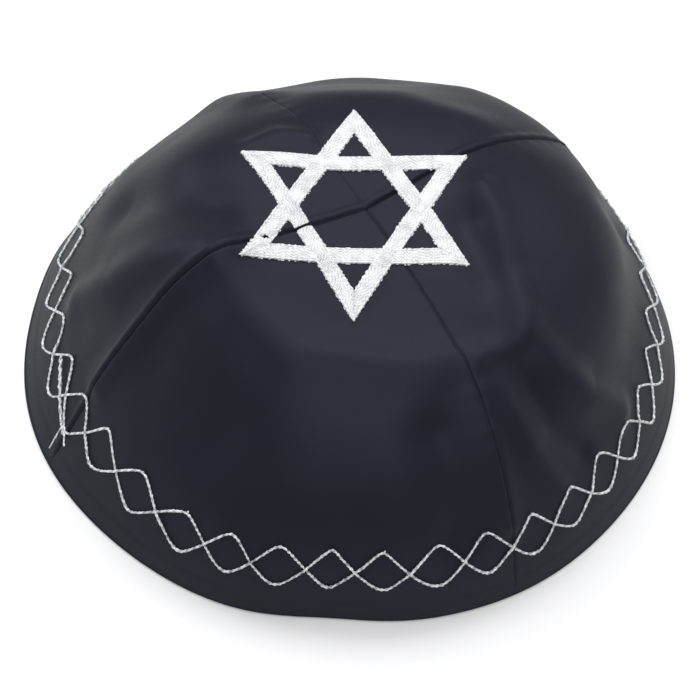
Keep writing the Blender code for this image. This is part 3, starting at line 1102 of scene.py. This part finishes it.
def make_trim_thread(name, starts_high, tree, thread, draw):
    run, height, lift, thick = trim_line(starts_high, draw)
    points = on_rim_cloth(run, height, lift)
    edges = [(i, (i + 1) % len(points)) for i in range(len(points))]
    spurs, spur_thick = [], []
    for station in range(TRIM_STATIONS):
        if (station % 2 == 0) == starts_high:
            deg, from_rim = trim_turn(station, True)
            length = SPUR_LENGTH * draw.uniform(*SPUR_LENGTH_SHARE)
            side = math.degrees(length * draw.uniform(*SPUR_LEAN_SHARE) / RIM_MEAN)
            steps = np.linspace(0, 1, len(SPUR_TAPER))
            lifts = SPUR_LIFT + SPUR_RISE * steps
            spurs.append(on_rim_cloth(deg + side * steps, from_rim + length * steps, lifts))
            spur_thick += SPUR_TAPER
    spur_points, spur_edges = line_edges(spurs)
    edges += [(a + len(points), b + len(points)) for a, b in spur_edges]
    points, thick = np.concatenate([points, spur_points]), np.concatenate([thick, spur_thick])
    guide = make_guide(name + "_guide", points, edges, thick=thick)
    sizes = {
        "Width": TRIM_WIDTH,
        "Thickness": TRIM_THICKNESS,
        "Twist Length": TRIM_TWIST,
        "Unevenness": 0.7,
        "Material": thread,
    }
    return grow_piece(name, guide, tree, sizes)


def make_trim_start(tree, thread):
    """Where the trim begins and ends: a doubled run of small knots, and two cut tails."""
    share = np.linspace(0, 1, TRIM_STEPS)
    corners = np.linspace(0, 1, len(START_PATH))
    degs, ways = np.transpose(START_PATH)
    deg = np.interp(share, corners, degs)
    from_rim = (1 - np.interp(share, corners, ways)) * ARC
    lines, thick = [], []
    for phase in (0, math.pi):
        turn = 2 * math.pi * share * START_TURNS + phase
        lift = START_LIFT + START_ROLL * np.sin(turn)
        lines.append(on_rim_cloth(deg + START_SWAY_DEG * np.cos(turn), from_rim, lift))
        thick.append(START_THICK + START_KNOT_SWELL * np.sin(turn * START_KNOTS_PER_TURN) ** 4)
    for tail in START_TAILS:
        share = np.linspace(0, 1, 10)
        deg = tail.start[0] + (tail.end[0] - tail.start[0]) * share
        way = tail.start[1] + (tail.end[1] - tail.start[1]) * share
        lines.append(on_rim_cloth(deg, (1 - way) * ARC, TAIL_LIFT + TAIL_RISE * share))
        thick.append(np.full(len(share), tail.thick))
    points, edges = line_edges(lines)
    guide = make_guide("trim_start_guide", points, edges, thick=np.concatenate(thick))
    sizes = {
        "Width": TRIM_WIDTH,
        "Thickness": TRIM_THICKNESS,
        "Twist Length": TRIM_TWIST,
        "Unevenness": 0.9,
        "Material": thread,
    }
    return grow_piece("trim_start_knot", guide, tree, sizes)


def face_cap(thing, place, target):
    """Turns a lamp or camera at a place to look at a target."""
    heading = Vector(target) - Vector(place)
    thing.location = place
    thing.rotation_euler = heading.to_track_quat("-Z", "Y").to_euler()


def make_floor():
    mesh = bpy.data.meshes.new("studio_floor")
    corners = [(FLOOR_HALF * x, FLOOR_HALF * y, 0) for x, y in ((-1, -1), (1, -1), (1, 1), (-1, 1))]
    mesh.from_pydata(corners, [], [(0, 1, 2, 3)])
    mesh.materials.append(studio_paper("matte_white_paper"))
    floor = link_piece("studio_floor", mesh)
    floor.location.z = -FLOOR_DROP


def make_lights():
    for light in LIGHTS:
        lamp = bpy.data.lights.new(light.name, "AREA")
        lamp.shape = "RECTANGLE"
        lamp.size, lamp.size_y = light.size
        lamp.energy = light.power
        face_cap(link_piece(light.name, lamp), light.place, (0, 0, 0.02))
    world = bpy.data.worlds.new("studio_room")
    world.use_nodes = True
    room = (ROOM_GREY, ROOM_GREY, ROOM_GREY * ROOM_BLUENESS, 1)
    world.node_tree.nodes["Background"].inputs["Color"].default_value = room
    bpy.context.scene.world = world


def make_camera():
    camera = bpy.data.cameras.new("camera")
    camera.lens = CAMERA_LENS
    camera.sensor_width = 36.0
    camera.clip_start = 0.01
    back = (0, -math.cos(CAMERA_ELEVATION), math.sin(CAMERA_ELEVATION))
    up = (0, math.sin(CAMERA_ELEVATION), math.cos(CAMERA_ELEVATION))
    target = np.array(up) * CAMERA_RISE + (CAMERA_SIDE, 0, 0)
    place = target + np.array(back) * CAMERA_DISTANCE
    rig = link_piece("camera", camera)
    face_cap(rig, place.tolist(), target.tolist())
    bpy.context.scene.camera = rig


def main():
    satin = woven_satin("woven_polyester_satin", "17181F", "1D1F28")
    for panel in PANELS:
        make_panel(panel, satin)
    # Each thread's first colour is painted shade in its ply valleys, and the second is its ridges' colour.
    star_thread = twisted_thread(
        "rayon_embroidery_thread", "C3C5CA", "E9EAEC", twist_length=0.0009, roughness=0.42, metallic=0.0
    )
    trim_thread = twisted_thread(
        "silver_metallised_thread", "A9ADB4", "EEF0F4", twist_length=0.0013, roughness=0.38, metallic=0.25
    )
    stitches, laid = satin_stitch_tree(), laid_thread_tree()
    finish_piece(make_star_stitches(stitches, star_thread), "silver_thread", "star_embroidery")
    finish_piece(make_star_underlay(laid, star_thread), "silver_thread")
    draw = np.random.default_rng(TRIM_SEED)
    finish_piece(make_trim_thread("trim_upper_thread", True, laid, trim_thread, draw), "silver_thread")
    finish_piece(make_trim_thread("trim_lower_thread", False, laid, trim_thread, draw), "silver_thread")
    finish_piece(make_trim_start(laid, trim_thread), "silver_thread")
    make_floor()
    make_lights()
    make_camera()
    bpy.context.scene.view_settings.view_transform = "Standard"


main()
